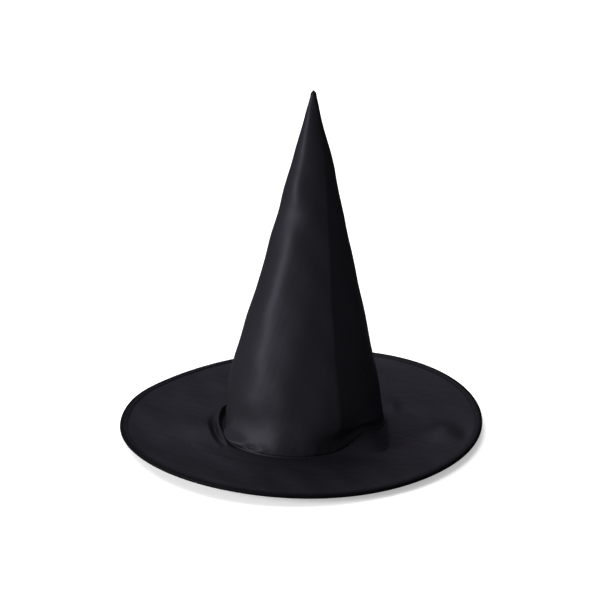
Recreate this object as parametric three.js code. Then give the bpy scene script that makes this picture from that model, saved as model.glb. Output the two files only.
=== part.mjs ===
// A pointed costume witch hat: a stiffened cloth crown sewn into a round, wired cloth brim.
// Millimetres, +Z up. The brim's underside rests on z = 0, the wearer's front is -Y, and the
// crown's back seam is at +Y.
import * as THREE from 'three';

// Driving dimensions
const BRIM_RADIUS = 190;
const HAT_HEIGHT = 365;
const CROWN_BASE_RADIUS = 88; // outside of the crown's cloth where it meets the brim
const TIP_LEAN = 18; // how far the point stands to +X of the middle
const RIM_LIFT = 6.7; // mean rise of the wired rim above the resting part of the brim
const RIM_WAVE = 4.2; // the rim swings this far above and below that, twice in a turn

// Cloth, stiffener and thread
const CLOTH = 0.5;
const CROWN_STIFFENER = 1.2;
const BRIM_STIFFENER = 1.4;
const RIBBON = 0.6;
const THREAD_RADIUS = 0.25;
const GAP = 0.3; // between layers that lie on each other

// Crown
const TAIL_BOTTOM = 0.8;
const SEAM_HEIGHT = 4.2; // the crown stands straight up to here, inside the brim's opening
const TIP_RADIUS = 4.5;
const TIP_SHOULDER = 4; // height of the rounded end of the point
const TIP_FILLING = 9; // depth of the gathered cloth that fills the point
const STIFFENER_TOP = 338;
const SEAM_THREAD_BOTTOM = 31;
const SEAM_THREAD_TOP = 325;
const CROWN_STEPS = 5;

// Brim
const OPENING_RADIUS = CROWN_BASE_RADIUS + 2 * GAP + 2 * THREAD_RADIUS;
const REST_RADIUS = 105; // the brim lies flat from the opening out to here
const COVER_RADIUS = 185.5;
const COVER_STEPS = 4;
const BRIM_THICKNESS = 2 * CLOTH + BRIM_STIFFENER + 2 * GAP;
const BRIM_MIDDLE = BRIM_THICKNESS / 2;

// Wire and edge binding
const WIRE_RADIUS = 0.75;
const HOOP_RADIUS = 187.4;
const HOOP_GAP_ANGLE = 0.004;
const FERRULE_BORE_RADIUS = 1.2;
const FERRULE_RADIUS = 1.55;
const FERRULE_HALF_ANGLE = 0.02;
const BINDING_INNER_RADIUS = 182;
const BINDING_STITCH_RADIUS = 183.6;
const BINDING_BEND_STEPS = 6;

// Sweatband and care label
const BAND_BOTTOM = 1.4;
const BAND_TOP = 29;
const BAND_STITCH_HEIGHT = 4.5;
const LABEL_WIDTH = 20;
const LABEL_HEIGHT = 22;
const LABEL_THICKNESS = 0.3;
const LABEL_TOP = 26;

const TURN_STEPS = 60;
const BACK = Math.PI / 2; // the angle of +Y about the vertical axis

// Depths of the crown's layers, measured inwards from the outside of its cloth
const STIFFENER_DEPTH = CLOTH + GAP;
const STIFFENER_INSIDE = STIFFENER_DEPTH + CROWN_STIFFENER;
const BAND_DEPTH = STIFFENER_INSIDE + GAP;
const BAND_INSIDE = BAND_DEPTH + RIBBON;

function material(name, color, roughness, metalness = 0) {
  return new THREE.MeshStandardMaterial({ name, color, roughness, metalness });
}

const materials = {
  cloth: material('cloth', 0x17161b, 0.55),
  stiffener: material('stiffener', 0x1d1d1f, 0.95),
  binding: material('binding', 0x121116, 0.5),
  ribbon: material('ribbon', 0x141417, 0.6),
  thread: material('thread', 0x1b1a1f, 0.5),
  wire: material('wire', 0x8d9095, 0.35, 1),
  label: material('label', 0xe6e4de, 0.7),
};

// How far the crown has drifted to +X at a height.
function leanAt(z) {
  return (TIP_LEAN * Math.max(0, z - SEAM_HEIGHT)) / (HAT_HEIGHT - SEAM_HEIGHT);
}

// How far the brim has risen at a radius and an angle.
function liftAt(radius, angle) {
  const share = Math.max(0, radius - REST_RADIUS) / (BRIM_RADIUS - REST_RADIUS);
  return share ** 1.5 * (RIM_LIFT + RIM_WAVE * Math.sin(2 * angle));
}

// Outside radius of the crown's cloth at a height.
function crownRadius(z) {
  const shoulder = HAT_HEIGHT - TIP_SHOULDER;
  const share = THREE.MathUtils.clamp((z - SEAM_HEIGHT) / (shoulder - SEAM_HEIGHT), 0, 1);
  return THREE.MathUtils.lerp(CROWN_BASE_RADIUS, TIP_RADIUS, share);
}

function steps(from, to, count) {
  return Array.from({ length: count + 1 }, (_, i) => THREE.MathUtils.lerp(from, to, i / count));
}

function closed(outline) {
  return [...outline, outline[0]];
}

// Moves each vertex of a geometry with a function that changes a point in place.
function moved(geometry, move) {
  const position = geometry.getAttribute('position');
  const point = new THREE.Vector3();
  for (let i = 0; i < position.count; i += 1) {
    point.fromBufferAttribute(position, i);
    move(point);
    position.setXYZ(i, point.x, point.y, point.z);
  }
  return geometry;
}

function leaning(point) {
  point.x += leanAt(point.z);
}

function lifted(point) {
  point.z += liftAt(Math.hypot(point.x, point.y), Math.atan2(point.y, point.x));
}

// Turns an outline of [radius, z] points about the vertical axis, then moves its vertices.
// The outline runs anticlockwise with radius drawn to the right and z drawn up.
function turned(outline, move) {
  const points = outline.map(([radius, z]) => new THREE.Vector2(radius, z));
  const geometry = new THREE.LatheGeometry(points, TURN_STEPS);
  geometry.rotateX(Math.PI / 2);
  return moved(geometry, move);
}

function mesh(name, geometry, look) {
  const made = new THREE.Mesh(geometry, look);
  made.name = name;
  return made;
}

// A ring of thread with a square section, its middle at a radius and a height.
function threadRing(name, radius, z, move) {
  const section = [[0, -1], [1, 0], [0, 1], [-1, 0]];
  const outline = section.map(([r, h]) => [radius + r * THREAD_RADIUS, z + h * THREAD_RADIUS]);
  return mesh(name, turned(closed(outline), move), materials.thread);
}

// A layer of the crown between two depths, open at its top and bottom.
function crownLayer(name, depth, inside, bottom, top, count, look) {
  const heights = [bottom, ...steps(SEAM_HEIGHT, top, count)];
  const outer = heights.map((z) => [crownRadius(z) - depth, z]);
  const inner = heights.map((z) => [crownRadius(z) - inside, z]).reverse();
  return mesh(name, turned(closed([...outer, ...inner]), leaning), look);
}

// The crown's cloth, with the gathered cloth inside its blunt point.
function crownShell() {
  const shoulder = HAT_HEIGHT - TIP_SHOULDER;
  const ceiling = shoulder - TIP_FILLING;
  const outer = [TAIL_BOTTOM, ...steps(SEAM_HEIGHT, shoulder, CROWN_STEPS)]
    .map((z) => [crownRadius(z), z]);
  const inner = [TAIL_BOTTOM, ...steps(SEAM_HEIGHT, ceiling, CROWN_STEPS)]
    .map((z) => [crownRadius(z) - CLOTH, z])
    .reverse();
  const end = [[TIP_RADIUS * 0.72, HAT_HEIGHT - TIP_SHOULDER * 0.28], [0, HAT_HEIGHT]];
  return mesh('crown_shell', turned([[0, ceiling], ...inner, ...outer, ...end], leaning),
    materials.cloth);
}

function crownStiffener() {
  return crownLayer('crown_stiffener', STIFFENER_DEPTH, STIFFENER_INSIDE, TAIL_BOTTOM + GAP,
    STIFFENER_TOP, CROWN_STEPS, materials.stiffener);
}

// The back seam's thread, a straight run up the inside of the crown.
function crownSeamThread() {
  const side = 2 * THREAD_RADIUS;
  const geometry = new THREE.BoxGeometry(side, side, SEAM_THREAD_TOP - SEAM_THREAD_BOTTOM);
  geometry.translate(0, 0, (SEAM_THREAD_TOP + SEAM_THREAD_BOTTOM) / 2);
  const against = (point) => {
    point.y += crownRadius(point.z) - STIFFENER_INSIDE - GAP - THREAD_RADIUS;
    leaning(point);
  };
  return mesh('crown_seam_thread', moved(geometry, against), materials.thread);
}

// The thread that joins the crown to the brim, inside the joint between them.
function baseSeamThread() {
  const radius = CROWN_BASE_RADIUS + GAP + THREAD_RADIUS;
  return threadRing('base_seam_thread', radius, BRIM_MIDDLE, leaning);
}

function sweatband() {
  return crownLayer('sweatband', BAND_DEPTH, BAND_INSIDE, BAND_BOTTOM, BAND_TOP, 1,
    materials.ribbon);
}

function sweatbandThread() {
  const radius = crownRadius(BAND_STITCH_HEIGHT) - BAND_INSIDE - GAP - THREAD_RADIUS;
  return threadRing('sweatband_thread', radius, BAND_STITCH_HEIGHT, leaning);
}

// A layer of the brim, between two heights above the plane it rests on.
function brimLayer(name, bottom, top, look) {
  const radii = [OPENING_RADIUS, ...steps(REST_RADIUS, COVER_RADIUS, COVER_STEPS)];
  const under = radii.map((radius) => [radius, bottom]);
  const over = radii.map((radius) => [radius, top]).reverse();
  return mesh(name, turned(closed([...under, ...over]), lifted), look);
}

function brimLayers() {
  const stiffenerBottom = CLOTH + GAP;
  const stiffenerTop = stiffenerBottom + BRIM_STIFFENER;
  return [
    brimLayer('brim_bottom_cover', 0, CLOTH, materials.cloth),
    brimLayer('brim_stiffener', stiffenerBottom, stiffenerTop, materials.stiffener),
    brimLayer('brim_top_cover', stiffenerTop + GAP, BRIM_THICKNESS, materials.cloth),
  ];
}

// The ring that the wire follows round the brim, between two angles.
class HoopPath extends THREE.Curve {
  constructor(from, to) {
    super();
    this.from = from;
    this.to = to;
  }

  getPoint(t, target = new THREE.Vector3()) {
    const angle = THREE.MathUtils.lerp(this.from, this.to, t);
    const z = BRIM_MIDDLE + liftAt(HOOP_RADIUS, angle);
    return target.set(HOOP_RADIUS * Math.cos(angle), HOOP_RADIUS * Math.sin(angle), z);
  }
}

// The corners of a regular polygon.
function corners(radius, sides) {
  return Array.from({ length: sides }, (_, i) => {
    const angle = (2 * Math.PI * i) / sides;
    return new THREE.Vector2(radius * Math.cos(angle), radius * Math.sin(angle));
  });
}

// The hoop of wire in the brim's edge, its two ends nearly meeting at the back.
function brimWire() {
  const halfGap = HOOP_GAP_ANGLE / 2;
  const path = new HoopPath(BACK + halfGap, BACK + 2 * Math.PI - halfGap);
  const geometry = new THREE.ExtrudeGeometry(new THREE.Shape(corners(WIRE_RADIUS, 6)),
    { steps: TURN_STEPS, extrudePath: path });
  return mesh('brim_wire', geometry, materials.wire);
}

// The metal sleeve that holds the wire's two ends.
function wireFerrule() {
  const path = new HoopPath(BACK - FERRULE_HALF_ANGLE, BACK + FERRULE_HALF_ANGLE);
  const section = new THREE.Shape(corners(FERRULE_RADIUS, 12));
  section.holes.push(new THREE.Path(corners(FERRULE_BORE_RADIUS, 12).reverse()));
  const geometry = new THREE.ExtrudeGeometry(section, { steps: 2, extrudePath: path });
  return mesh('wire_ferrule', geometry, materials.wire);
}

// One side of the binding tape, from below the brim, out round the wire, to above the brim.
function bindingSide(reach, halfHeight) {
  const bend = steps(-Math.PI / 2, Math.PI / 2, BINDING_BEND_STEPS).map((angle) => [
    HOOP_RADIUS + (reach - HOOP_RADIUS) * Math.cos(angle),
    BRIM_MIDDLE + halfHeight * Math.sin(angle),
  ]);
  return [
    [BINDING_INNER_RADIUS, BRIM_MIDDLE - halfHeight],
    ...bend,
    [BINDING_INNER_RADIUS, BRIM_MIDDLE + halfHeight],
  ];
}

function edgeBinding() {
  const halfHeight = BRIM_MIDDLE + GAP;
  const outside = bindingSide(BRIM_RADIUS, halfHeight + CLOTH);
  const inside = bindingSide(BRIM_RADIUS - CLOTH, halfHeight).reverse();
  return mesh('edge_binding', turned(closed([...outside, ...inside]), lifted),
    materials.binding);
}

function bindingThreads() {
  const away = BRIM_MIDDLE + GAP + CLOTH + GAP + THREAD_RADIUS;
  return [
    threadRing('binding_needle_thread', BINDING_STITCH_RADIUS, BRIM_MIDDLE + away, lifted),
    threadRing('binding_bobbin_thread', BINDING_STITCH_RADIUS, BRIM_MIDDLE - away, lifted),
  ];
}

// A woven care label that hangs from its top edge, in front of the sweatband at the back.
function careLabel() {
  const wall = crownRadius(LABEL_TOP) - BAND_INSIDE;
  const y = Math.sqrt(wall ** 2 - (LABEL_WIDTH / 2) ** 2) - 2 * GAP - LABEL_THICKNESS / 2;
  const flap = mesh('care_label',
    new THREE.BoxGeometry(LABEL_WIDTH, LABEL_THICKNESS, LABEL_HEIGHT), materials.label);
  flap.position.set(leanAt(LABEL_TOP), y, LABEL_TOP - LABEL_HEIGHT / 2);
  const side = 2 * THREAD_RADIUS;
  const stitching = mesh('label_thread', new THREE.BoxGeometry(LABEL_WIDTH, side, side),
    materials.thread);
  stitching.position.set(leanAt(LABEL_TOP), y, LABEL_TOP + GAP + THREAD_RADIUS);
  return [flap, stitching];
}

const hat = new THREE.Group();
hat.name = 'witch_hat';
hat.add(
  crownShell(),
  crownStiffener(),
  crownSeamThread(),
  baseSeamThread(),
  sweatband(),
  sweatbandThread(),
  ...brimLayers(),
  brimWire(),
  wireFerrule(),
  edgeBinding(),
  ...bindingThreads(),
  ...careLabel(),
);

export default hat;
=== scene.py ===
"""A pointed costume witch hat of black polyester cloth, standing on its wired brim."""
import math

import bpy
import numpy as np
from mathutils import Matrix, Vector


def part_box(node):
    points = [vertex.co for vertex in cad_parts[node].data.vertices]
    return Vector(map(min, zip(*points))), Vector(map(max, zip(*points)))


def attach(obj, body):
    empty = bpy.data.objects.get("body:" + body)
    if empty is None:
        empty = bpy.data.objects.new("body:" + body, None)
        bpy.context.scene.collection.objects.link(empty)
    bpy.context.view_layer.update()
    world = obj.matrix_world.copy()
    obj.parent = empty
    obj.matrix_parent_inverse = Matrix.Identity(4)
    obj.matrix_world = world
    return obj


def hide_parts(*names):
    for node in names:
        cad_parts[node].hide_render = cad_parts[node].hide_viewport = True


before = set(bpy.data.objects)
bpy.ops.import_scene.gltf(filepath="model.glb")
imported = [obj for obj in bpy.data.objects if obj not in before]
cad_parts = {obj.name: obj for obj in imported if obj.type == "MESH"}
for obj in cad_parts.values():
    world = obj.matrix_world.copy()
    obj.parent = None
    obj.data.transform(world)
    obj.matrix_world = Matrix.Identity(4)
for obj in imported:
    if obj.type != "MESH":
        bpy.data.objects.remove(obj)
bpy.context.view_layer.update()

MM = 0.001  # metres in a millimetre
BACK = 90.0  # the wearer's back, where every seam is joined, as an angle round the hat

# ---------------------------------------------------------------- sizes, in millimetres


def low_corner(node):
    """Lowest x, y and z of a CAD node at rest, in millimetres."""
    return np.array(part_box(node)[0]) / MM


def high_corner(node):
    """Highest x, y and z of a CAD node at rest, in millimetres."""
    return np.array(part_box(node)[1]) / MM


def cad_points(node):
    """Every corner of a CAD node's mesh, in millimetres."""
    return np.array([v.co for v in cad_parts[node].data.vertices]) / MM


CLOTH = 0.5
WIRE_RADIUS = 0.75
BRIM_RADIUS = high_corner("edge_binding")[1]
COVER_RADIUS = high_corner("brim_top_cover")[1]
HOOP_RADIUS = (high_corner("brim_wire")[1] - low_corner("brim_wire")[1]) / 2 - WIRE_RADIUS
CROWN_RADIUS = high_corner("crown_shell")[1]
OPENING_RADIUS = CROWN_RADIUS + 1.1
SEWN_RADIUS = CROWN_RADIUS - 0.4  # the brim's cloth is sewn right into the edge of the crown's
HAT_HEIGHT = high_corner("crown_shell")[2]
CONE_TOP = HAT_HEIGHT - 4.0  # the cone stops here, and its rounded point begins
SEAM_HEIGHT = 4.2
TIP_RADIUS = 4.5
TIP_LEAN = 18.0
SLANT = math.hypot(CROWN_RADIUS - TIP_RADIUS, HAT_HEIGHT) * CROWN_RADIUS / (CROWN_RADIUS - TIP_RADIUS)
BRIM_MIDDLE = 1.5  # height of the middle of the brim's layers, where it lies flat
BRIM_TOP = 2 * BRIM_MIDDLE
FELT_HALF = 0.7  # half the thickness of the brim's interlining
INTERLINING_DEPTHS = (0.8, 2.0)  # depths of the crown's inner layers, inside its outer face
BAND_DEPTHS = (2.3, 2.9)
BAND_BOTTOM = low_corner("sweatband")[2]
BAND_TOP = high_corner("sweatband")[2]
BAND_RADIUS = 85.0
REST_RADIUS = 105.0  # the brim rests on its plane inside this, and rises outside it
LIFT_POWER = 1.5
ROUND = np.arange(-180, 180, 1.0)  # angles a degree apart, all the way round


def rim_rise():
    """The rim's mean rise, and how far it swings round that, from the CAD brim's lower cloth."""
    points = cad_points("brim_bottom_cover")
    radius = np.hypot(points[:, 0], points[:, 1])
    rim = points[radius > radius.max() - 0.5]
    angle = np.arctan2(rim[:, 1], rim[:, 0])
    share = ((radius.max() - REST_RADIUS) / (BRIM_RADIUS - REST_RADIUS)) ** LIFT_POWER
    mean = rim[:, 2].mean() - CLOTH / 2
    swing = 2 * (rim[:, 2] * np.sin(2 * angle)).mean()
    return mean / share, swing / share


RIM_LIFT, RIM_WAVE = rim_rise()

# ---------------------------------------------------------------- small mathematics


def lerp(a, b, t):
    """a where t is 0, b where t is 1, and straight between."""
    return a + (b - a) * t


def smooth(low, high, x):
    """0 at low, 1 at high, and a smooth step between."""
    t = np.clip((x - low) / (high - low), 0, 1)
    return t * t * (3 - 2 * t)


def bell(x, width):
    """1 at x = 0, falling softly to 0 on both sides."""
    return np.exp(-((x / width) ** 2))


def turned(angle, centre):
    """The signed angle from centre, in degrees, from -180 to 180."""
    return (angle - centre + 180) % 360 - 180


def cosine(angle):
    return np.cos(np.radians(angle))


def sine(angle):
    return np.sin(np.radians(angle))


def waves(x, y, seed, count=7, shortest=0.35):
    """Smooth, repeatable noise between about -1 and 1, with waves about one unit long."""
    random = np.random.default_rng(seed)
    total = np.zeros(np.broadcast(x, y).shape)
    for _ in range(count):
        direction = random.uniform(0, 2 * math.pi)
        rate = 2 * math.pi / random.uniform(shortest, 1.6)
        phase = random.uniform(0, 2 * math.pi)
        total += np.sin(rate * (x * math.cos(direction) + y * math.sin(direction)) + phase)
    return total / math.sqrt(count)


# ---------------------------------------------------------------- the crown's surface

# Folds of the stiffened cone: (height, angle) points up the hat, width and turning in degrees,
# and the height by which the fold is at its full strength.
FRONT_CREASE = (((0, -63), (160, -64), (260, -59), (330, -50)), 1.6, 38, 45)
LEFT_RIDGE = (((0, -126), (92, -129), (147, -134), (197, -124), (222, -119), (300, -122)), 11, 32, 170)
BACK_CREASE = (((0, 118), (200, 112), (330, 104)), 2.5, 30, 45)
RIGHT_RIDGE = (((0, 22), (150, 14), (330, 25)), 12, 24, 45)
FOLDS = (FRONT_CREASE, LEFT_RIDGE, BACK_CREASE, RIGHT_RIDGE)
FACET_SPREAD = 30.0
WALL_LEFT = 77.0  # the wall is pushed in to a flat at this distance at the left,
SEAM_LEFT = 80.5  # and the seam to this one
CORNER_SIDE = 90.5  # the square corner that the seam's slack makes at the front right
CORNER_FRONT = 84.0
CORNER_SLOPE = 0.62
LIP_LEFT = 87.0  # the lip's crest stands this far to the left,
LIP_MIDDLE = 3.0  # and its middle this far back

# Swells and dents of the crown's wall: how far out, angle and its spread, height and its spread.
WALL_DENTS = (
    (5.4, -146, 13, 8, 6),  # a short roll at the foot, at the front left,
    (-1.6, -127, 4.5, 7, 4),  # and the pinch that ends it
    (1.8, -119, 6, 8, 5),
    (-4.2, -133, 24, 24, 20),  # above that roll the wall hangs almost straight down
    (-1.9, -122, 20, 241, 15),  # shallow ones higher up
    (0.9, -132, 22, 277, 20),
    (-1.6, 70, 26, 150, 34),
    (-2.0, 150, 22, 95, 26),
    (-1.0, 15, 18, 215, 20),
)


def cone_radius(z):
    """Radius of the CAD cone at a height."""
    share = np.clip((z - SEAM_HEIGHT) / (CONE_TOP - SEAM_HEIGHT), 0, 1)
    return lerp(CROWN_RADIUS, TIP_RADIUS, share)


def crown_radius(z):
    """The cloth stands a little full low down, and is drawn in below the point."""
    full = 0.4 + 1.5 * smooth(170, 115, z)
    return cone_radius(z) + full * smooth(8, 60, z) - 1.7 * smooth(280, 338, z)


def lean(z):
    """How far the crown's middle stands to the side, with a slight bow half way up."""
    straight = TIP_LEAN * np.maximum(0, z - SEAM_HEIGHT) / (HAT_HEIGHT - SEAM_HEIGHT)
    return straight + 1.3 * smooth(95, 150, z) * smooth(345, 275, z)


def crown_angles():
    """Column angles round the crown, closer together along the sharp crease and the seam."""
    crease = np.arange(-72, -48, 0.25)
    seam = np.arange(BACK - 3, BACK + 3, 0.12)
    return np.unique(np.round(np.concatenate([ROUND, crease, seam]), 3))


def crown_rows():
    """Row heights up the crown, closest at its foot and its point."""
    foot = np.arange(0.8, 12, 0.4)
    wall = np.concatenate([np.arange(12, 40, 1.0), np.arange(40, 340, 2.5), np.arange(340, 361, 1.0)])
    return np.unique(np.round(np.concatenate([foot, wall]), 3))


def fill_out(v):
    """Stretches each row of v to run from -1 to 1."""
    low = v.min(1, keepdims=True)
    high = v.max(1, keepdims=True)
    return 2 * (v - low) / (high - low) - 1


def folded_rings(angle, z):
    """x and y of the folded cone's rings, each as broad and as deep as a circle of radius one."""
    a, h = np.meshgrid(angle, z)
    heading = np.radians(a)
    for points, width, turning, full in FOLDS:
        heights, angles = zip(*points)
        away = turned(a, np.interp(h, heights, angles))
        bend = np.tanh(away / width) - np.tanh(away / FACET_SPREAD)
        heading = heading + math.radians(turning) / 2 * bend * smooth(0, full, h)
    step = np.radians(np.diff(np.append(angle, angle[0] + 360)))
    dx = -np.sin(heading) * step
    dy = np.cos(heading) * step
    x = np.cumsum(dx - dx.mean(1, keepdims=True), 1)
    y = np.cumsum(dy - dy.mean(1, keepdims=True), 1)
    return fill_out(x), fill_out(y)


def pushed_in(r, a, flat):
    """How far a wall of radius r is pushed in at the left to lie at most flat from the middle."""
    toward = np.maximum(-cosine(a), 0.2)
    softness = 1.2
    return softness * np.logaddexp(0, (r - flat / toward) / softness)


def wall_dents(a, z):
    """Dents and swells of the whole crown wall, by angle and by height, as if its seam lay flat."""
    size = cone_radius(z)
    x = size * cosine(a)
    y = size * sine(a)
    out = 0.35 * waves(x / 60, (y + z) / 70, 3)
    # a hollow over the foot at the front right, which climbs towards the front crease
    middle = lerp(9, 20, smooth(-42, -68, a))
    out -= 3.4 * bell(turned(a, -34), 24) * bell(z - middle, 6)
    for outward, angle, breadth, height, reach in WALL_DENTS:
        out += outward * bell(turned(a, angle), breadth) * bell(z - height, reach)
    # the left wall hangs straight down inside its seam, which is itself a little pushed in
    flat = lerp(SEAM_LEFT, WALL_LEFT, smooth(4, 11, z)) + lean(z)
    pushed = pushed_in(crown_radius(z), a, flat)
    return out * smooth(3.6, 7.5, z) - pushed


def cloth_dents(a, z):
    """Puckers and the back seam, which only the outer cloth has."""
    size = cone_radius(z)
    x = size * cosine(a)
    y = size * sine(a)
    out = 0.04 * waves(x / 18, (y + 0.6 * z) / 26, 5)
    # drawn in along the stitches of the seam
    out -= 0.8 * bell(z - SEAM_HEIGHT, 0.9)
    # fine puckers above it
    out += 0.1 * waves(a / 8, z / 60, 8, shortest=0.7) * smooth(5, 8, z) * smooth(22, 9, z)
    # the back seam's groove, between two pressed ridges that ripple with the stitches
    across = np.radians(turned(a, BACK)) * size
    out -= 0.25 * bell(across, 0.7)
    out += (0.35 + 0.08 * np.sin(z / 0.45)) * bell(np.abs(across) - 2.6, 1.6)
    # cloth gathered into the point
    out += 0.5 * np.sin(np.radians(5 * a) + z / 5) * smooth(336, 350, z)
    return out


def crown_grid(angle, z, lining=False):
    """Points of the outside of the crown, or of what lies inside its cloth, as rows of columns."""
    a, h = np.meshgrid(angle, z)
    size = crown_radius(h)
    fold_x, fold_y = folded_rings(angle, z)
    amount = smooth(3, 30, h)
    x = lerp(cosine(a), fold_x, amount)
    y = lerp(sine(a), fold_y, amount)
    out = wall_dents(a, h)
    if not lining:
        out = out + cloth_dents(a, h)
    # dents fade out as the cone narrows to its point
    out = out * np.minimum(1, size / 25)
    length = np.hypot(x, y)
    reach = (size * length + out) / length
    raised = h + seam_rise(a) * smooth(36, SEAM_HEIGHT, h)
    return np.stack([x * reach + lean(h), y * reach, raised], -1)


# ---------------------------------------------------------------- the brim's surface


def brim_lift(r, a):
    """The brim's rise towards its rim, which the wire holds in a slow wave."""
    share = np.maximum(0, r - REST_RADIUS) / (BRIM_RADIUS - REST_RADIUS)
    # flexed up a little at the front right and at the left
    flex = 2.3 * bell(turned(a, -42), 30) + 2.4 * bell(turned(a, 160), 16)
    return share**LIFT_POWER * (RIM_LIFT + RIM_WAVE * sine(2 * a) + flex)


def drawn_corner(r, a):
    """The brim is drawn up to the crown at the front right, inside a soft square corner."""
    squareness = 8
    side = np.abs(cosine(a) / CORNER_SIDE) ** squareness
    front = np.abs(sine(a) / CORNER_FRONT) ** squareness
    corner = (side + front) ** (-1 / squareness)
    softness = lerp(0.7, 3.5, smooth(-38, -56, a))
    ramp = softness * np.logaddexp(0, (corner - r) / softness)
    return CORNER_SLOPE * ramp * smooth(-92, -76, a) * smooth(16, -4, a)


def beside_lip(x, y):
    """x measured across the left lip's crest, which bends in to the seam at both its ends."""
    return x + LIP_LEFT - 7.5 * np.minimum(1.6, ((y - LIP_MIDDLE) / 44) ** 2)


def seam_lip(x, y):
    """At the left the brim's cloth stands up as a lip, a little outside the seam."""
    return 7.0 * bell(beside_lip(x, y), 2.5) * np.exp(-(((y - LIP_MIDDLE) / 46) ** 6))


def brim_dents(r, a):
    """How far the brim's cloth stands above its smooth rise."""
    x = r * cosine(a)
    y = r * sine(a)
    edge = smooth(186, 172, r)
    up = drawn_corner(r, a) + seam_lip(x, y)
    # a ridge beside the crown at the right
    up = up + 2.6 * bell(x - 97, 8) * bell(y - 42, 18) * smooth(89, 98, r)
    # a hollow near the rim at the right, and the swell inside it
    up = up - 3.0 * bell(x - 174, 13) * bell(y + 46, 19) * edge
    up = up + 5.0 * bell(x - 147, 15) * bell(y + 33, 18)
    # a broad swell at the left, outside the lip
    up = up + 6.4 * bell(y + 15, 28) * smooth(-4, -12, beside_lip(x, y)) * smooth(-156, -99, x)
    # a shallow dip near the rim at the back left
    up = up - 1.6 * bell(r - 169, 9) * bell(turned(a, 127), 22)
    # long waves and short ones all round
    up = up + 0.5 * waves(x / 75, y / 75, 11) * smooth(100, 124, r) * edge
    up = up + 0.1 * waves(x / 24, y / 24, 12) * smooth(96, 106, r) * edge
    # nothing dips below the plane that the hat stands on
    return np.maximum(up, -brim_lift(r, a))


def seam_radius(r, a):
    """Inner radii of the brim follow the seam where it is pushed in at the left."""
    return r - pushed_in(CROWN_RADIUS, a, SEAM_LEFT) * smooth(112, OPENING_RADIUS, r)


def seam_rise(a):
    """How far the seam stands above its flat height."""
    return brim_dents(seam_radius(OPENING_RADIUS, a), a)


def brim_grid(angle, radius, height):
    """Points of the brim at a height above its rest plane: one row for each radius and height."""
    a, r = np.meshgrid(angle, radius)
    r = seam_radius(r, a)
    height = np.broadcast_to(height, np.shape(radius))[:, None]
    z = height + brim_lift(r, a) + brim_dents(r, a)
    return np.stack([r * cosine(a), r * sine(a), z], -1)


# ---------------------------------------------------------------- meshes


def link(name, data):
    """A new object in the scene, for a mesh, a light or a camera."""
    piece = bpy.data.objects.new(name, data)
    bpy.context.scene.collection.objects.link(piece)
    return piece


def new_mesh(name, points, faces, uv=None):
    """A smooth-shaded mesh object from points in millimetres."""
    mesh = bpy.data.meshes.new(name)
    mesh.from_pydata((np.asarray(points) * MM).tolist(), [], faces)
    mesh.shade_smooth()
    if uv is not None:
        layer = mesh.uv_layers.new(name="cloth")
        corner = np.zeros(len(mesh.loops), np.int32)
        mesh.loops.foreach_get("vertex_index", corner)
        layer.data.foreach_set("uv", np.asarray(uv, np.float32)[corner].ravel())
    return link(name, mesh)


def grid_faces(rows, columns, rows_close, columns_close=True):
    """Quads between rows of points, which may close on themselves either way."""
    i, j = np.meshgrid(
        np.arange(rows if rows_close else rows - 1),
        np.arange(columns if columns_close else columns - 1),
        indexing="ij",
    )
    k = (i + 1) % rows
    n = (j + 1) % columns
    quads = np.stack([i * columns + j, i * columns + n, k * columns + n, k * columns + j], -1)
    return quads.reshape(-1, 4).tolist()


def ring_solid(name, rings, uv=None):
    """A closed solid from rings of points that run out along one side and back along the other."""
    rows, columns = rings.shape[:2]
    return new_mesh(name, rings.reshape(-1, 3), grid_faces(rows, columns, True), uv)


def arc_solid(name, rings, uv=None):
    """As ring_solid, for rings that stop short of a full turn: both cut ends are capped."""
    rows, columns = rings.shape[:2]
    faces = grid_faces(rows, columns, True, False)
    faces.append([i * columns for i in range(rows)])
    faces.append([i * columns + columns - 1 for i in reversed(range(rows))])
    return new_mesh(name, rings.reshape(-1, 3), faces, uv)


def capped_solid(name, rings, first, last, uv=None):
    """A closed solid from rings that start and end at a single point."""
    rows, columns = rings.shape[:2]
    points = np.concatenate([rings.reshape(-1, 3), [first, last]])
    faces = grid_faces(rows, columns, False)
    start, end = len(points) - 2, len(points) - 1
    top = (rows - 1) * columns
    for j in range(columns):
        n = (j + 1) % columns
        faces.append([start, n, j])
        faces.append([end, top + j, top + n])
    if uv is not None:
        uv = np.concatenate([uv, [uv[0], uv[-1]]])
    return new_mesh(name, points, faces, uv)


def normals(grid):
    """Unit normals of a grid whose columns close round, pointing out of the hat."""
    along = np.gradient(grid, axis=0)
    around = np.roll(grid, -1, 1) - np.roll(grid, 1, 1)
    n = np.cross(around, along)
    return n / np.linalg.norm(n, axis=-1, keepdims=True)


def stitches(name, spines, up, radius=0.2):
    """Short lengths of thread along the spines, each with its ends drawn down into the cloth."""
    count, steps = spines.shape[:2]
    up = np.broadcast_to(up, spines.shape)
    corners = 6
    ends = np.linspace(-1, 1, steps) ** 4
    sunk = ends * 1.6 * radius
    middle = spines - up * sunk[None, :, None]
    along = np.gradient(middle, axis=1)
    side = np.cross(along, up)
    side /= np.linalg.norm(side, axis=-1, keepdims=True)
    turn = np.arange(corners) * 2 * math.pi / corners
    thick = radius * (1 - 0.35 * ends)
    wide = thick[None, :, None, None] * np.cos(turn)[:, None] * side[:, :, None]
    high = thick[None, :, None, None] * np.sin(turn)[:, None] * up[:, :, None]
    points = middle[:, :, None] + wide + high
    one = grid_faces(steps, corners, False)
    one.append(list(reversed(range(corners))))
    one.append([corners * (steps - 1) + i for i in range(corners)])
    faces = [[i + corners * steps * k for i in face] for k in range(count) for face in one]
    return new_mesh(name, points.reshape(-1, 3), faces)


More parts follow.
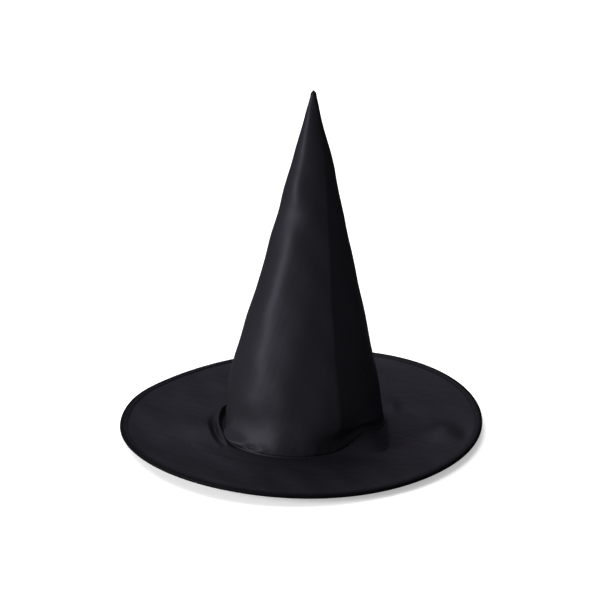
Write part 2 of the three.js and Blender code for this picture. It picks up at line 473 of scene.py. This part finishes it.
def stitch_angles(radius, pitch, share=0.8, steps=5):
    """Angles along each stitch of a ring of stitches, which fill that share of their pitch."""
    count = round(2 * math.pi * radius / pitch)
    middle = np.arange(count) * 360 / count - 180
    half = 180 / count * share
    return middle[:, None] + np.linspace(-half, half, steps)


# ---------------------------------------------------------------- materials


class Nodes:
    """A short way to build one material's node tree."""

    def __init__(self, name):
        self.material = bpy.data.materials.new(name)
        self.material.use_nodes = True
        self.tree = self.material.node_tree
        self.shader = self.tree.nodes["Principled BSDF"]
        self.where = self.add("ShaderNodeTexCoord").outputs["Object"]

    def add(self, kind, inputs=None, **settings):
        """A new node with its settings and inputs."""
        node = self.tree.nodes.new(kind)
        for key, value in settings.items():
            setattr(node, key, value)
        for key, value in (inputs or {}).items():
            self.give(node.inputs[key], value)
        return node

    def give(self, socket, value):
        """Links a socket to another one, or sets its value."""
        if isinstance(value, bpy.types.NodeSocket):
            self.tree.links.new(value, socket)
        else:
            socket.default_value = value

    def math(self, operation, a, b=0.0, c=0.0):
        return self.add("ShaderNodeMath", {0: a, 1: b, 2: c}, operation=operation).outputs[0]

    def noise(self, scale, detail=3.0, rough=0.5, where=None):
        inputs = {"Vector": where or self.where, "Scale": scale, "Detail": detail, "Roughness": rough}
        return self.add("ShaderNodeTexNoise", inputs).outputs["Fac"]

    def ramp(self, value, low, high, start=0.0, end=1.0):
        """value from start to end, mapped to low to high."""
        inputs = {"Value": value, "From Min": start, "From Max": end, "To Min": low, "To Max": high}
        return self.add("ShaderNodeMapRange", inputs).outputs["Result"]

    def mix(self, share, a, b):
        """Between two colours, each a socket or three numbers."""
        a, b = (c if isinstance(c, bpy.types.NodeSocket) else (*c, 1) for c in (a, b))
        return self.add("ShaderNodeMix", {0: share, 6: a, 7: b}, data_type="RGBA").outputs[2]

    def bump(self, height, strength, distance):
        inputs = {"Height": height, "Strength": strength, "Distance": distance}
        return self.add("ShaderNodeBump", inputs).outputs["Normal"]

    def shade(self, **inputs):
        """Sets or links the shader's sockets, named with _ for a space."""
        for key, value in inputs.items():
            self.give(self.shader.inputs[key.replace("_", " ")], value)


def scaled(color, factor):
    """A colour made lighter or darker."""
    return tuple(c * factor for c in color)


def weave(nodes, across, along):
    """Height of a plain weave with those thread pitches in metres, from 0 to 1."""
    uv = nodes.add("ShaderNodeUVMap", uv_map="cloth").outputs[0]
    parts = nodes.add("ShaderNodeSeparateXYZ", {0: uv})
    warp = nodes.math("SINE", nodes.math("MULTIPLY", parts.outputs["X"], math.pi / across))
    weft = nodes.math("SINE", nodes.math("MULTIPLY", parts.outputs["Y"], math.pi / along))
    return nodes.math("MULTIPLY_ADD", nodes.math("MULTIPLY", warp, weft), 0.5, 0.5)


PAINTED_RIM_SHADE_FADE = (0.1850, 0.1884)  # from the hat's middle in metres, where the tape's colour darkens: painted shade on the edge that turns over the rim


def black_cloth(name, color, roughness, sheen, pitch=(0.00045, 0.00045), relief=0.12, nose=1.0):
    """Filament cloth: a dark body, and a soft sheen that doesn't flare at a glancing view.

    The pitch is that of the weave's threads, and nose scales the colour where tape folds over the rim, as
    painted shade on that outward edge.
    """
    nodes = Nodes(name)
    slack = nodes.noise(16, 4)
    grain = nodes.noise(900, 2)
    threads = weave(nodes, *pitch)
    mottled = nodes.mix(slack, scaled(color, 0.86), scaled(color, 1.14))
    height = nodes.math("MULTIPLY_ADD", grain, 0.3, threads)
    dye_and_painted_rim_shade = nodes.mix(nodes.math("MULTIPLY", threads, 0.25), mottled, scaled(color, 1.3))
    # painted shade: the colour darkens towards the tape's outward edge over the rim, where little light
    # falls
    if nose < 1:
        flat = nodes.add("ShaderNodeVectorMath", {0: nodes.where, 1: (1, 1, 0)}, operation="MULTIPLY")
        radius = nodes.add("ShaderNodeVectorMath", {0: flat.outputs[0]}, operation="LENGTH")
        folded = nodes.ramp(radius.outputs["Value"], 0.0, 1.0, *PAINTED_RIM_SHADE_FADE)
        dye_and_painted_rim_shade = nodes.mix(folded, dye_and_painted_rim_shade, scaled(color, nose))
    nodes.shade(
        Base_Color=dye_and_painted_rim_shade,
        Metallic=sheen,
        Specular_IOR_Level=0.0,
        Specular_Tint=(0.38, 0.38, 0.38, 1),
        Roughness=nodes.ramp(slack, roughness - 0.05, roughness + 0.06),
        Normal=nodes.bump(height, relief, 0.0002),
    )
    return nodes.material


def felt():
    """Pressed fibre interlining, with its dimples."""
    nodes = Nodes("felt")
    fibres = nodes.noise(1400, 4, 0.7)
    dimples = nodes.add("ShaderNodeTexVoronoi", {"Vector": nodes.where, "Scale": 650.0}).outputs["Distance"]
    height = nodes.math("MULTIPLY_ADD", fibres, 0.6, dimples)
    nodes.shade(
        Base_Color=nodes.mix(fibres, (0.013, 0.013, 0.014), (0.03, 0.03, 0.031)),
        Roughness=nodes.ramp(fibres, 0.82, 0.98),
        Specular_IOR_Level=0.15,
        Normal=nodes.bump(height, 0.4, 0.0004),
    )
    return nodes.material


def thread():
    """Twisted sewing thread."""
    nodes = Nodes("thread")
    twist = nodes.add("ShaderNodeTexWave", {"Vector": nodes.where, "Scale": 900.0, "Distortion": 1.5})
    nodes.shade(
        Base_Color=nodes.mix(twist.outputs["Fac"], (0.006, 0.0057, 0.0072), (0.014, 0.0133, 0.0165)),
        Roughness=nodes.ramp(twist.outputs["Fac"], 0.5, 0.66),
        Specular_IOR_Level=0.05,
        Normal=nodes.bump(twist.outputs["Fac"], 0.4, 0.0001),
    )
    return nodes.material


def steel():
    """Drawn wire, with fine scratches and a little dulling."""
    nodes = Nodes("steel")
    stretched = nodes.add("ShaderNodeMapping", {0: nodes.where, 3: (60, 60, 900)}).outputs[0]
    scratches = nodes.noise(9, 3, 0.6, stretched)
    dull = nodes.noise(120, 3)
    nodes.shade(
        Base_Color=nodes.mix(dull, (0.42, 0.43, 0.45), (0.56, 0.57, 0.59)),
        Metallic=1.0,
        Roughness=nodes.ramp(scratches, 0.24, 0.46),
        Normal=nodes.bump(scratches, 0.15, 0.0001),
    )
    return nodes.material


def label_cloth():
    """Pale woven tape, blank, with a faint mottle."""
    nodes = Nodes("label")
    threads = weave(nodes, 0.0003, 0.0004)
    fuzz = nodes.noise(700, 3)
    body = nodes.mix(fuzz, (0.70, 0.69, 0.65), (0.80, 0.79, 0.75))
    nodes.shade(
        Base_Color=nodes.mix(nodes.math("MULTIPLY", threads, 0.3), body, (0.88, 0.87, 0.84)),
        Roughness=nodes.ramp(fuzz, 0.48, 0.62),
        Specular_IOR_Level=0.3,
        Normal=nodes.bump(threads, 0.25, 0.0002),
    )
    return nodes.material


BLACK = (0.0162, 0.0154, 0.0192)
CLOTH_BLACK = black_cloth("cloth_black", BLACK, roughness=0.5, sheen=0.45)
BINDING_BLACK = black_cloth(
    "binding_black",
    scaled(BLACK, 0.78),
    roughness=0.5,
    sheen=0.42,
    pitch=(0.0004, 0.0008),
    relief=0.15,
    # the tape's edge over the rim gets painted shade, its colour scaled this much darker
    nose=0.45,
)
RIBBON = black_cloth(
    "ribbon",
    scaled(BLACK, 0.9),
    roughness=0.55,
    sheen=0.3,
    pitch=(0.0012, 0.0003),
    relief=0.35,
)
FELT = felt()
THREAD = thread()
STEEL = steel()
LABEL = label_cloth()

# ---------------------------------------------------------------- pieces


def dress(piece, material, nodes, body="hat"):
    """Gives a piece its material, the body it moves with and the CAD it stands for."""
    piece.data.materials.append(material)
    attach(piece, body)
    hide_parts(*nodes)
    return piece


def flat_sector(grid):
    """Where each point of the cone lay on the flat cloth, in metres."""
    z = grid[..., 2]
    a = np.degrees(np.arctan2(grid[..., 1], grid[..., 0] - lean(z)))
    opened = np.radians(turned(a, BACK - 180)) * CROWN_RADIUS / SLANT
    away = SLANT * cone_radius(z) / CROWN_RADIUS
    return np.stack([away * np.sin(opened), -away * np.cos(opened)], -1).reshape(-1, 2) * MM


def make_crown_cloth():
    """The crown's outer cloth, solid in the last stretch below its rounded point."""
    solid_from = 345  # the height above which the cloth has no inside
    z = crown_rows()
    outside = crown_grid(crown_angles(), z)
    inside = (outside - CLOTH * normals(outside))[z < solid_from]
    top = outside[-1]
    centre = top.mean(0)
    rounding = ((0.92, 2.2), (0.72, 4.0), (0.4, 5.2))  # each last ring's size, and its rise
    end = np.stack([lerp(centre, top, share) + [0, 0, rise] for share, rise in rounding])
    rings = np.concatenate([inside[::-1], outside, end])
    point = centre + [0, 0, HAT_HEIGHT + 1.6 - z[-1]]
    piece = capped_solid("crown_cloth", rings, inside[-1].mean(0), point, flat_sector(rings))
    return dress(piece, CLOTH_BLACK, ["crown_shell"])


def crown_layer(name, angle, z, depths, uv=None):
    """A layer that follows the inside of the crown between two depths."""
    outer_depth, inner_depth = depths
    surface = crown_grid(angle, z, lining=True)
    # the layers thin out as the cone narrows
    n = normals(surface) * np.minimum(1, crown_radius(z) / 30)[:, None, None]
    rings = np.concatenate([surface - outer_depth * n, (surface - inner_depth * n)[::-1]])
    return ring_solid(name, rings, flat_sector(rings) if uv is None else uv)


def make_crown_interlining():
    """The stiffener, cut a little short at the foot and at the point."""
    z = crown_rows()
    z = z[(z > 1.0) & (z < 336)]
    piece = crown_layer("crown_interlining", crown_angles(), z, INTERLINING_DEPTHS)
    return dress(piece, FELT, ["crown_stiffener"])


def make_sweatband():
    """The ribbon round the head opening, inside the interlining."""
    z = np.linspace(BAND_BOTTOM, BAND_TOP, 30)
    up = np.concatenate([z, z[::-1]])
    along = np.tile(np.radians(ROUND) * BAND_RADIUS * MM, len(up))
    uv = np.stack([along, np.repeat(up * MM, len(ROUND))], -1)
    piece = crown_layer("ribbon_sweatband", ROUND, z, BAND_DEPTHS, uv)
    return dress(piece, RIBBON, ["sweatband"])


def inner_point(angle, z, depth):
    """Points inside the crown at single angles and heights, and the way inwards there."""
    rows = np.array([z - 0.5, z, z + 0.5])
    surface = crown_grid(angle, rows, lining=True)
    n = normals(surface)[1]
    return surface[1] - depth * n, -n


def make_sweatband_stitches():
    """One round of stitches along the sweatband's lower edge."""
    angles = stitch_angles(BAND_RADIUS - 1, pitch=3.0)
    points, inwards = inner_point(angles.ravel(), z=4.5, depth=3.0)
    shape = (*angles.shape, 3)
    piece = stitches("sweatband_stitches", points.reshape(shape), inwards.reshape(shape))
    return dress(piece, THREAD, ["sweatband_thread"])


def make_crown_seam_stitches():
    """The back seam's row of stitches, up the inside of the crown."""
    bottom = low_corner("crown_seam_thread")[2]
    top = high_corner("crown_seam_thread")[2]
    pitch = 3.0
    half = 1.2
    count = round((top - bottom) / pitch)
    middle = lerp(bottom, top, (np.arange(count) + 0.5) / count)
    z = (middle[:, None] + np.linspace(-half, half, 5)).ravel()
    angle = crown_angles()
    column = np.argmin(np.abs(angle - BACK))
    points = crown_grid(angle, z, lining=True)[:, column] - [0, 2.2, 0]
    piece = stitches("crown_seam_stitches", points.reshape(count, 5, 3), [0, -1, 0])
    return dress(piece, THREAD, ["crown_seam_thread"])


def make_base_seam_stitches():
    """The stitches that join crown and brim, in the seam between them."""
    angles = stitch_angles(OPENING_RADIUS, pitch=2.6)
    cad_radius = -low_corner("base_seam_thread")[1]
    radius = (cad_radius + OPENING_RADIUS) / 2 - 0.3
    middle = brim_grid(angles.ravel(), [radius], [BRIM_MIDDLE])[0]
    piece = stitches("base_seam_stitches", middle.reshape(*angles.shape, 3), [0, 0, 1])
    return dress(piece, THREAD, ["base_seam_thread"])


def make_brim_layer(name, node, bottom, top, inner, material):
    """One layer of the brim, with its rows closest together beside the seam."""
    step = 0.8
    near = np.arange(inner, 116, step)
    far = np.linspace(near[-1] + 2 * step, COVER_RADIUS, 34)
    radius = np.concatenate([near, far])
    rings = np.concatenate([brim_grid(ROUND, radius, top), brim_grid(ROUND, radius, bottom)[::-1]])
    piece = ring_solid(name, rings, rings.reshape(-1, 3)[:, :2] * MM)
    return dress(piece, material, [node])


TAPE = 0.4  # thickness of the folded edge tape
TAPE_HALF = 2.15  # its outside, above and below the brim's middle
TAPE_INNER = 182.0
TAPE_STITCHES = 183.6


def tape_side(nose, half):
    """(radius, height) points round one side of the folded tape, from its top edge to its lower."""
    legs = np.array([TAPE_INNER, 182.8, TAPE_STITCHES, 184.4, 185.6])
    # drawn in by the stitches, and pressed down towards its edge
    sunk = 0.22 * bell(legs - TAPE_STITCHES, 0.6) + 0.2 * smooth(185, TAPE_INNER, legs)
    turn = np.radians(np.linspace(90, -90, 15))
    bow = [(HOOP_RADIUS + nose * math.cos(t), BRIM_MIDDLE + half * math.sin(t)) for t in turn]
    upper = [(r, BRIM_MIDDLE + half - s) for r, s in zip(legs, sunk)]
    lower = [(r, BRIM_MIDDLE - half + s) for r, s in zip(legs, sunk)]
    return upper + bow + lower[::-1]


def tape_rings(angle, extra=0.0):
    """The tape's outside and inside as rings along the rim, and their places on the flat tape."""
    nose = BRIM_RADIUS - HOOP_RADIUS + extra
    outside = tape_side(nose, TAPE_HALF + extra)
    inside = tape_side(nose - TAPE, TAPE_HALF - TAPE + extra)
    outline = np.array(outside + inside[::-1])
    rings = brim_grid(angle, outline[:, 0], outline[:, 1])
    step = np.hypot(*np.diff(outline, axis=0).T)
    across = np.concatenate([[0], np.cumsum(step)]) * MM
    along = np.radians(angle) * BRIM_RADIUS * MM
    return rings, np.stack([np.tile(along, len(outline)), np.repeat(across, len(angle))], -1)


def make_edge_tape():
    """The bias tape, folded over the brim's edge and its wire."""
    piece = ring_solid("edge_tape", *tape_rings(ROUND))
    return dress(piece, BINDING_BLACK, ["edge_binding"])


def make_tape_lap():
    """The tape's end, lapped over its start at the back."""
    piece = arc_solid("edge_tape_lap", *tape_rings(BACK + np.linspace(1.5, 4.5, 7), TAPE + 0.05))
    return dress(piece, BINDING_BLACK, [])


def make_tape_stitches(name, node, height, up):
    """One of the two rows of stitches that hold the tape, above or below."""
    angles = stitch_angles(TAPE_STITCHES, pitch=2.8)
    middle = brim_grid(angles.ravel(), [TAPE_STITCHES], [height])[0]
    piece = stitches(name, middle.reshape(*angles.shape, 3), up)
    return dress(piece, THREAD, [node])


def wire_rings(angle, radius, corners):
    """Rings along the rim round the wire's line."""
    turn = np.arange(corners) * 2 * math.pi / corners
    return brim_grid(angle, HOOP_RADIUS + radius * np.cos(turn), BRIM_MIDDLE - radius * np.sin(turn))


def make_wire():
    """The steel hoop inside the tape's fold."""
    piece = ring_solid("rim_wire", wire_rings(ROUND, WIRE_RADIUS, 12))
    return dress(piece, STEEL, ["brim_wire"])


def make_ferrule():
    """The crimped sleeve that joins the wire's ends at the back, pinched at two places."""
    outer_radius = 1.5
    pinch = 0.25
    angle = BACK + np.linspace(-1.15, 1.15, 25)
    pinched = bell(np.abs(angle - BACK) - 0.6, 0.18)
    outer = wire_rings(angle, outer_radius, 16)
    inner = wire_rings(angle, WIRE_RADIUS + 0.2, 16)
    middle = wire_rings(angle, 0.0, 16)
    outer = outer - pinch * pinched[None, :, None] * (outer - middle) / outer_radius
    rows, columns = outer.shape[:2]
    points = np.concatenate([outer.reshape(-1, 3), inner.reshape(-1, 3)])
    outside = grid_faces(rows, columns, True, False)
    count = rows * columns
    faces = outside + [[i + count for i in reversed(face)] for face in outside]
    for i in range(rows):
        k = (i + 1) % rows
        first, last = i * columns, i * columns + columns - 1
        next_first, next_last = k * columns, k * columns + columns - 1
        faces.append([first, next_first, next_first + count, first + count])
        faces.append([last, last + count, next_last + count, next_last])
    return dress(new_mesh("wire_sleeve", points, faces), STEEL, ["wire_ferrule"])


LABEL_LOW = low_corner("care_label")
LABEL_HIGH = high_corner("care_label")


def make_label():
    """A blank woven label that hangs from its top edge, its sides and foot curled off the band."""
    x = np.linspace(LABEL_LOW[0], LABEL_HIGH[0], 25)
    z = np.linspace(LABEL_HIGH[2], LABEL_LOW[2], 27)
    gx, gz = np.meshgrid(x, z)
    middle = (LABEL_LOW + LABEL_HIGH) / 2
    fall = (LABEL_HIGH[2] - gz) / (LABEL_HIGH[2] - LABEL_LOW[2])
    across = (gx - middle[0]) / (LABEL_HIGH[0] - middle[0])
    curl = -0.5 * across**2 * (1 - 0.5 * fall) + 0.25 * np.sin(7 * fall + 2 * across)
    curl = curl * smooth(0, 0.3, fall) - 1.1 * fall**3
    half = 0.12  # half its thickness
    front = np.stack([gx, middle[1] - half + curl, gz], -1)
    behind = front + [0, 2 * half, 0]
    rows, columns = gx.shape
    count = rows * columns
    one = grid_faces(rows, columns, False, False)
    faces = [list(reversed(face)) for face in one] + [[i + count for i in face] for face in one]
    rim = list(range(columns))
    rim += [i * columns + columns - 1 for i in range(1, rows)]
    rim += [count - 1 - j for j in range(1, columns)]
    rim += [i * columns for i in range(rows - 2, 0, -1)]
    faces += [[a, b, b + count, a + count] for a, b in zip(rim, rim[1:] + rim[:1])]
    flat = np.stack([gx, gz], -1).reshape(-1, 2) * MM
    points = np.concatenate([front.reshape(-1, 3), behind.reshape(-1, 3)])
    piece = new_mesh("label_tape", points, faces, np.concatenate([flat, flat]))
    return dress(piece, LABEL, ["care_label"], "label")


def make_label_stitches():
    """The row of stitches that holds the label's head to the band."""
    low, high = low_corner("label_thread"), high_corner("label_thread")
    middle = (low + high) / 2
    count = 8
    step = (high[0] - low[0]) / count
    centre = low[0] + step * (np.arange(count) + 0.5)
    x = centre[:, None] + np.linspace(-0.42, 0.42, 5) * step
    radius = 0.15
    spines = np.stack([x, np.full(x.shape, middle[1]), np.full(x.shape, high[2] - radius)], -1)
    piece = stitches("label_stitches", spines, [0, -1, 0], radius)
    return dress(piece, THREAD, ["label_thread"])


crown_cloth = make_crown_cloth()
crown_interlining = make_crown_interlining()
make_crown_seam_stitches()
sweatband = make_sweatband()
make_sweatband_stitches()
brim_upper = make_brim_layer(
    "brim_upper_cloth",
    "brim_top_cover",
    bottom=BRIM_TOP - CLOTH,
    top=BRIM_TOP,
    inner=SEWN_RADIUS,
    material=CLOTH_BLACK,
)
brim_inner = make_brim_layer(
    "brim_interlining",
    "brim_stiffener",
    bottom=BRIM_MIDDLE - FELT_HALF,
    top=BRIM_MIDDLE + FELT_HALF,
    inner=OPENING_RADIUS,
    material=FELT,
)
brim_lower = make_brim_layer(
    "brim_lower_cloth",
    "brim_bottom_cover",
    bottom=0.0,
    top=CLOTH,
    inner=SEWN_RADIUS,
    material=CLOTH_BLACK,
)
make_base_seam_stitches()
edge_tape = make_edge_tape()
tape_lap = make_tape_lap()
OVER_TAPE = BRIM_MIDDLE + TAPE_HALF - 0.05
UNDER_TAPE = BRIM_MIDDLE - TAPE_HALF + 0.05
needle = make_tape_stitches("binding_needle_stitches", "binding_needle_thread", OVER_TAPE, [0, 0, 1])
bobbin = make_tape_stitches("binding_bobbin_stitches", "binding_bobbin_thread", UNDER_TAPE, [0, 0, -1])
make_wire()
make_ferrule()
label = make_label()
make_label_stitches()

# ---------------------------------------------------------------- stage, lights and camera


def make_floor():
    """A plain pale floor, which sends the hat less light than it shows the camera."""
    size, z = 6.0, -0.0004
    corners = [(-size, -size, z), (size, -size, z), (size, size, z), (-size, size, z)]
    mesh = bpy.data.meshes.new("floor")
    mesh.from_pydata(corners, [], [(0, 1, 2, 3)])
    floor = link("floor", mesh)
    material = bpy.data.materials.new("pale_floor")
    material.use_nodes = True
    tree = material.node_tree
    seen = tree.nodes["Principled BSDF"]
    seen.inputs["Base Color"].default_value = (0.9, 0.9, 0.9, 1)
    seen.inputs["Specular IOR Level"].default_value = 0.0
    seen.inputs["Emission Color"].default_value = (1, 1, 1, 1)
    seen.inputs["Emission Strength"].default_value = 0.4
    given = tree.nodes.new("ShaderNodeBsdfDiffuse")
    given.inputs["Color"].default_value = (0.4, 0.4, 0.4, 1)
    mix = tree.nodes.new("ShaderNodeMixShader")
    tree.links.new(tree.nodes.new("ShaderNodeLightPath").outputs["Is Camera Ray"], mix.inputs[0])
    tree.links.new(given.outputs[0], mix.inputs[1])
    tree.links.new(seen.outputs[0], mix.inputs[2])
    tree.links.new(mix.outputs[0], tree.nodes["Material Output"].inputs["Surface"])
    floor.data.materials.append(material)


def softbox(name, place, aim, width, height, power):
    """A soft rectangular light, in metres and watts."""
    light = bpy.data.lights.new(name, "AREA")
    light.shape = "RECTANGLE"
    light.size, light.size_y = width, height
    light.energy = power
    lamp = link(name, light)
    lamp.location = place
    lamp.rotation_euler = (Vector(aim) - Vector(place)).to_track_quat("-Z", "Y").to_euler()
    lamp.visible_camera = False


def overhead(direction, spread, strength):
    """A broad light from far off in a direction, spread over an angle in degrees."""
    light = bpy.data.lights.new("overhead_panel", "SUN")
    light.angle = math.radians(spread)
    light.energy = strength
    lamp = link("overhead_panel", light)
    lamp.rotation_euler = (-Vector(direction)).to_track_quat("-Z", "Y").to_euler()


def make_world():
    """Dim studio air for the light, and a pale backdrop where the camera looks past the floor."""
    world = bpy.data.worlds.new("studio")
    world.use_nodes = True
    nodes = world.node_tree.nodes
    air = nodes["Background"]
    air.inputs["Color"].default_value = (0.97, 0.97, 1.0, 1)
    air.inputs["Strength"].default_value = 0.26
    pale = nodes.new("ShaderNodeBackground")
    pale.inputs["Color"].default_value = (0.92, 0.92, 0.93, 1)
    mix = nodes.new("ShaderNodeMixShader")
    links = world.node_tree.links
    links.new(nodes.new("ShaderNodeLightPath").outputs["Is Camera Ray"], mix.inputs[0])
    links.new(air.outputs[0], mix.inputs[1])
    links.new(pale.outputs[0], mix.inputs[2])
    links.new(mix.outputs[0], nodes["World Output"].inputs["Surface"])
    bpy.context.scene.world = world


def make_camera():
    """The camera in front of the hat and above it, with a slight tilt."""
    elevation = math.radians(20.99)
    tilt = math.radians(-0.94)
    distance = 2.5
    data = bpy.data.cameras.new("camera")
    data.lens = 145.3
    data.sensor_width = 36.0
    data.clip_end = 50.0
    camera = link("camera", data)
    target = Vector((0.0004, 0, 0.1417))
    back = Vector((0, -math.cos(elevation), math.sin(elevation)))
    camera.location = target + back * distance
    camera.rotation_euler = (-back).to_track_quat("-Z", "Y").to_euler()
    camera.rotation_euler.rotate_axis("Z", tilt)
    bpy.context.scene.camera = camera


make_floor()
overhead(direction=(-0.30, 0.58, 0.76), spread=56, strength=2.9)
softbox("left_key", place=(-1.85, -0.78, 0.25), aim=(0, 0, 0.17), width=0.8, height=1.3, power=86)
softbox("back_panel", place=(0, 1.9, 0.85), aim=(0, 0, 0.0), width=1.6, height=0.9, power=12)
make_world()
make_camera()
bpy.context.scene.view_settings.view_transform = "Standard"
